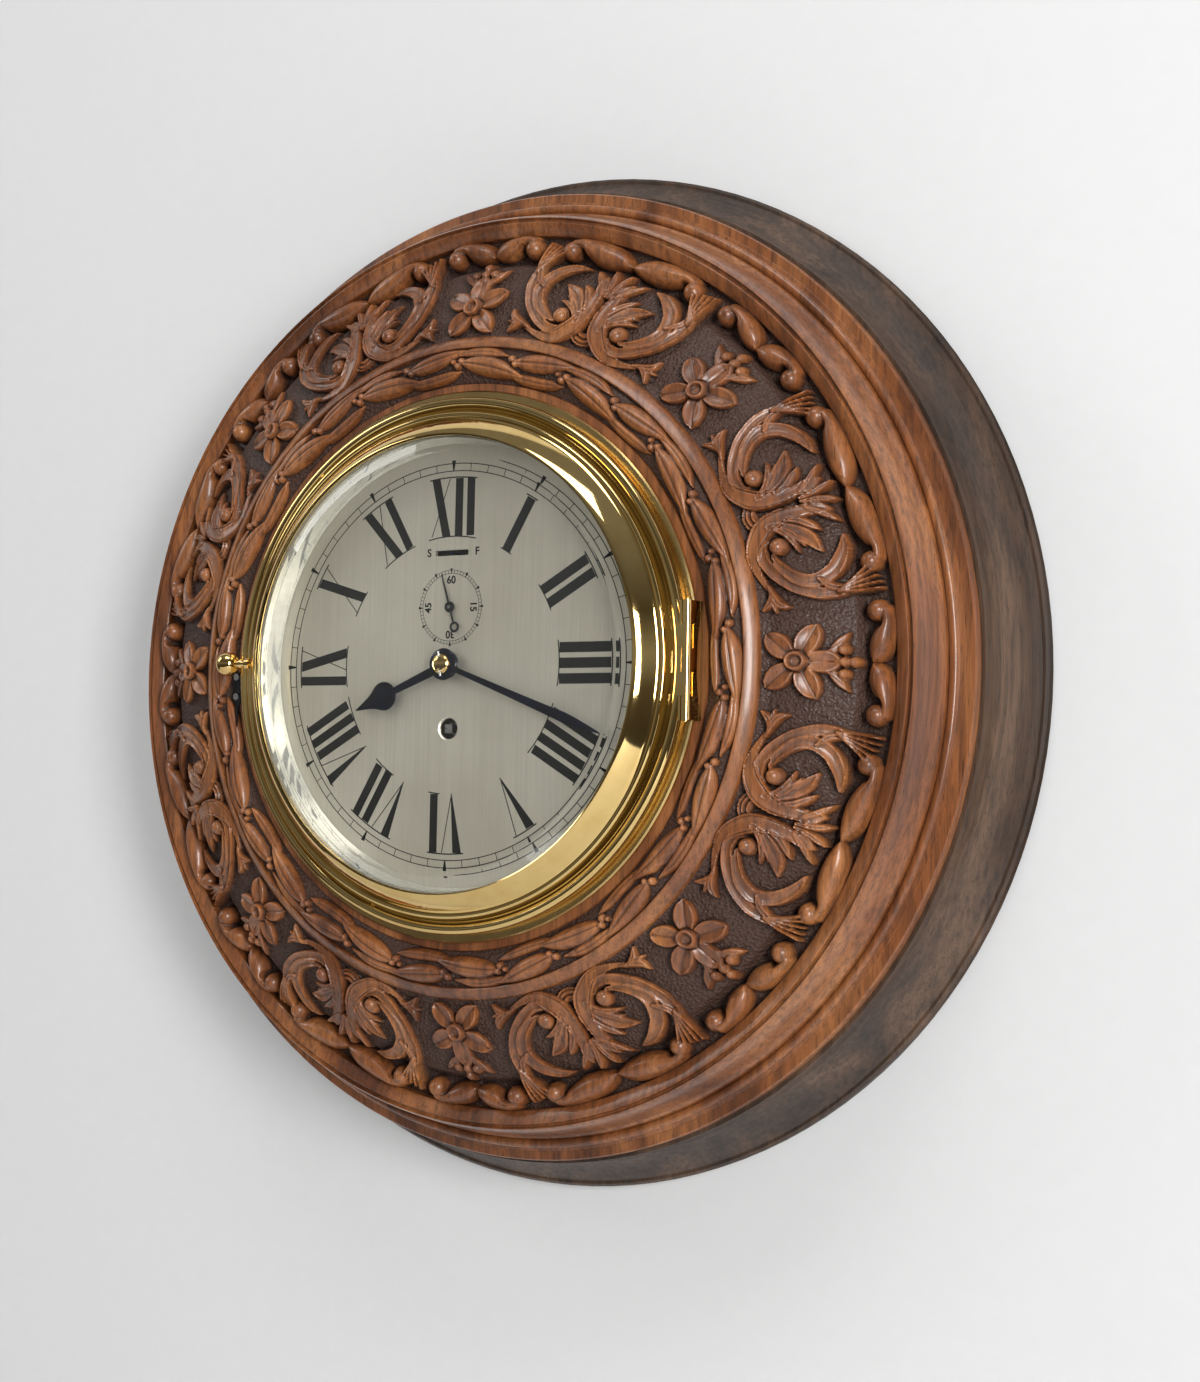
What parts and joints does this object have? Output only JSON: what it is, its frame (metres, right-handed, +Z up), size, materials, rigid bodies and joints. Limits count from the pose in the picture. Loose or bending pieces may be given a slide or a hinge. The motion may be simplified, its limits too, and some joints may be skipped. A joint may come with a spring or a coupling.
{
  "type": "railway station clock",
  "caption": "Round wall clock with a carved wooden surround, hinged brass bezel, bevelled glass, silvered dial and a lever movement behind it.",
  "frame": {"origin": "centre of the back face, on the wall", "axes": "+Y into the wall, so the dial faces -Y; +Z up; +X to the right as seen from the front"},
  "size_m": [0.548, 0.1276, 0.548],
  "materials": {
    "dark_wood": "polished dark walnut",
    "board_wood": "plain sawn board",
    "carved_wood": "polished carved walnut",
    "case_brass": "turned brass, lightly aged",
    "polished_brass": "polished and lacquered",
    "screw_brass": "slotted screws",
    "black_steel": "black, satin",
    "bright_steel": "polished",
    "movement_steel": "turned and polished",
    "blued_steel": "tempered blue",
    "bevelled_glass": "clear, with a ground and polished bevel",
    "silvered_ring": "silvered and polished",
    "silvered_dial": "silvered brass, brushed round",
    "copper": "plain copper",
    "movement_brass": "fine grained brass"
  },
  "bodies": {
    "case": {"wall_base": "dark_wood", "back_board": "board_wood", "board_screws": "screw_brass", "hanging_plate": "case_brass", "hanging_plate_screws": "screw_brass", "carved_surround": "carved_wood", "brass_case": "case_brass", "flange_screws": "screw_brass", "catch_plate": "black_steel", "catch_screws": "bright_steel", "hinge_fixed_leaf": "polished_brass", "hinge_pin": "polished_brass", "dial": "silvered_dial", "dial_feet": "copper", "dial_pins": "bright_steel", "case_posts": "movement_brass", "case_screws": "movement_steel", "back_plate": "movement_brass", "front_plate": "movement_brass", "pillars": "movement_brass", "plate_screws": "movement_steel", "platform": "movement_brass", "platform_screws": "movement_steel", "escape_potence": "movement_brass", "lever_cock": "movement_brass", "balance_cock": "movement_brass", "hairspring": "blued_steel", "click_spring": "blued_steel", "click_screws": "movement_steel"},
    "bezel_assembly": {"bezel": "polished_brass", "glass": "bevelled_glass", "sight_ring": "silvered_ring", "bezel_screws": "screw_brass", "pull_knob": "polished_brass", "hinge_bezel_leaf": "polished_brass"},
    "centre_work": {"centre_arbor": "movement_steel", "centre_wheel": "movement_brass", "cannon_pinion": "movement_steel", "minute_hand": "black_steel", "hand_nut": "polished_brass", "hand_pin": "bright_steel"},
    "hour_work": {"hour_wheel": "movement_brass", "hour_hand": "black_steel"},
    "minute_work": {"minute_wheel": "movement_brass"},
    "seconds_work": {"fourth_arbor": "movement_steel", "contrate_wheel": "movement_brass", "seconds_hand": "black_steel"},
    "third_work": {"third_wheel": "movement_brass"},
    "intermediate_work": {"intermediate_wheel": "movement_brass"},
    "barrel_work": {"barrel": "movement_brass", "barrel_cap": "movement_brass", "mainspring": "blued_steel"},
    "winding_work": {"winding_arbor": "movement_steel", "ratchet_wheel": "bright_steel"},
    "click_work": {"click": "bright_steel"},
    "escape_work": {"escape_wheel": "movement_brass"},
    "lever_work": {"pallet_lever": "movement_steel"},
    "balance_work": {"balance_wheel": "movement_brass"},
    "regulator_work": {"regulator_arm": "blued_steel"}
  },
  "joints": [
    {"name": "minute_turn", "type": "hinge", "parent": "case", "child": "centre_work", "pos_m": [0, -0.08, 0], "axis": [0, 1, 0], "continuous": true},
    {"name": "hour_turn", "type": "hinge", "parent": "case", "child": "hour_work", "pos_m": [0, -0.08, 0], "axis": [0, 1, 0], "continuous": true},
    {"name": "minute_wheel_turn", "type": "hinge", "parent": "case", "child": "minute_work", "pos_m": [0.01316, -0.08, 0.00479], "axis": [0, 1, 0], "continuous": true},
    {"name": "seconds_turn", "type": "hinge", "parent": "case", "child": "seconds_work", "pos_m": [0, -0.08, 0.029], "axis": [0, 1, 0], "continuous": true},
    {"name": "third_turn", "type": "hinge", "parent": "case", "child": "third_work", "pos_m": [-0.0077, -0.08, 0.01627], "axis": [0, 1, 0], "continuous": true},
    {"name": "intermediate_turn", "type": "hinge", "parent": "case", "child": "intermediate_work", "pos_m": [0.01984, -0.08, -0.00689], "axis": [0, 1, 0], "continuous": true},
    {"name": "barrel_turn", "type": "hinge", "parent": "case", "child": "barrel_work", "pos_m": [0, -0.08, -0.032], "axis": [0, 1, 0], "continuous": true},
    {"name": "escape_turn", "type": "hinge", "parent": "case", "child": "escape_work", "pos_m": [0, -0.06601, 0.046], "axis": [0, 0, 1], "continuous": true},
    {"name": "bezel_hinge", "type": "hinge", "parent": "case", "child": "bezel_assembly", "pos_m": [0.1372, -0.1175, 0], "axis": [0, 0, 1], "range_deg": [0, 160]},
    {"name": "winding_turn", "type": "hinge", "parent": "case", "child": "winding_work", "pos_m": [0, -0.08, -0.032], "axis": [0, 1, 0], "continuous": true},
    {"name": "click_pivot", "type": "hinge", "parent": "case", "child": "click_work", "pos_m": [0.0155, -0.101, -0.024], "axis": [0, -1, 0], "range_deg": [0, 8]},
    {"name": "lever_pivot", "type": "hinge", "parent": "case", "child": "lever_work", "pos_m": [0, -0.07401, 0.046], "axis": [0, 0, 1], "range_deg": [-5, 5]},
    {"name": "balance_swing", "type": "hinge", "parent": "case", "child": "balance_work", "pos_m": [0, -0.082, 0.05], "axis": [0, 0, 1], "range_deg": [-220, 220]},
    {"name": "regulator_pivot", "type": "hinge", "parent": "case", "child": "regulator_work", "pos_m": [0, -0.082, 0.056], "axis": [0, 0, 1], "range_deg": [-16, 16]}
  ],
  "couplings": [
    {"joint": "hour_turn", "follows": "minute_turn", "ratio": 0.083333},
    {"joint": "minute_wheel_turn", "follows": "minute_turn", "ratio": -0.33333},
    {"joint": "third_turn", "follows": "minute_turn", "ratio": -8},
    {"joint": "seconds_turn", "follows": "minute_turn", "ratio": 60},
    {"joint": "escape_turn", "follows": "minute_turn", "ratio": 480},
    {"joint": "intermediate_turn", "follows": "minute_turn", "ratio": -0.16667},
    {"joint": "barrel_turn", "follows": "minute_turn", "ratio": 0.02381}
  ]
}
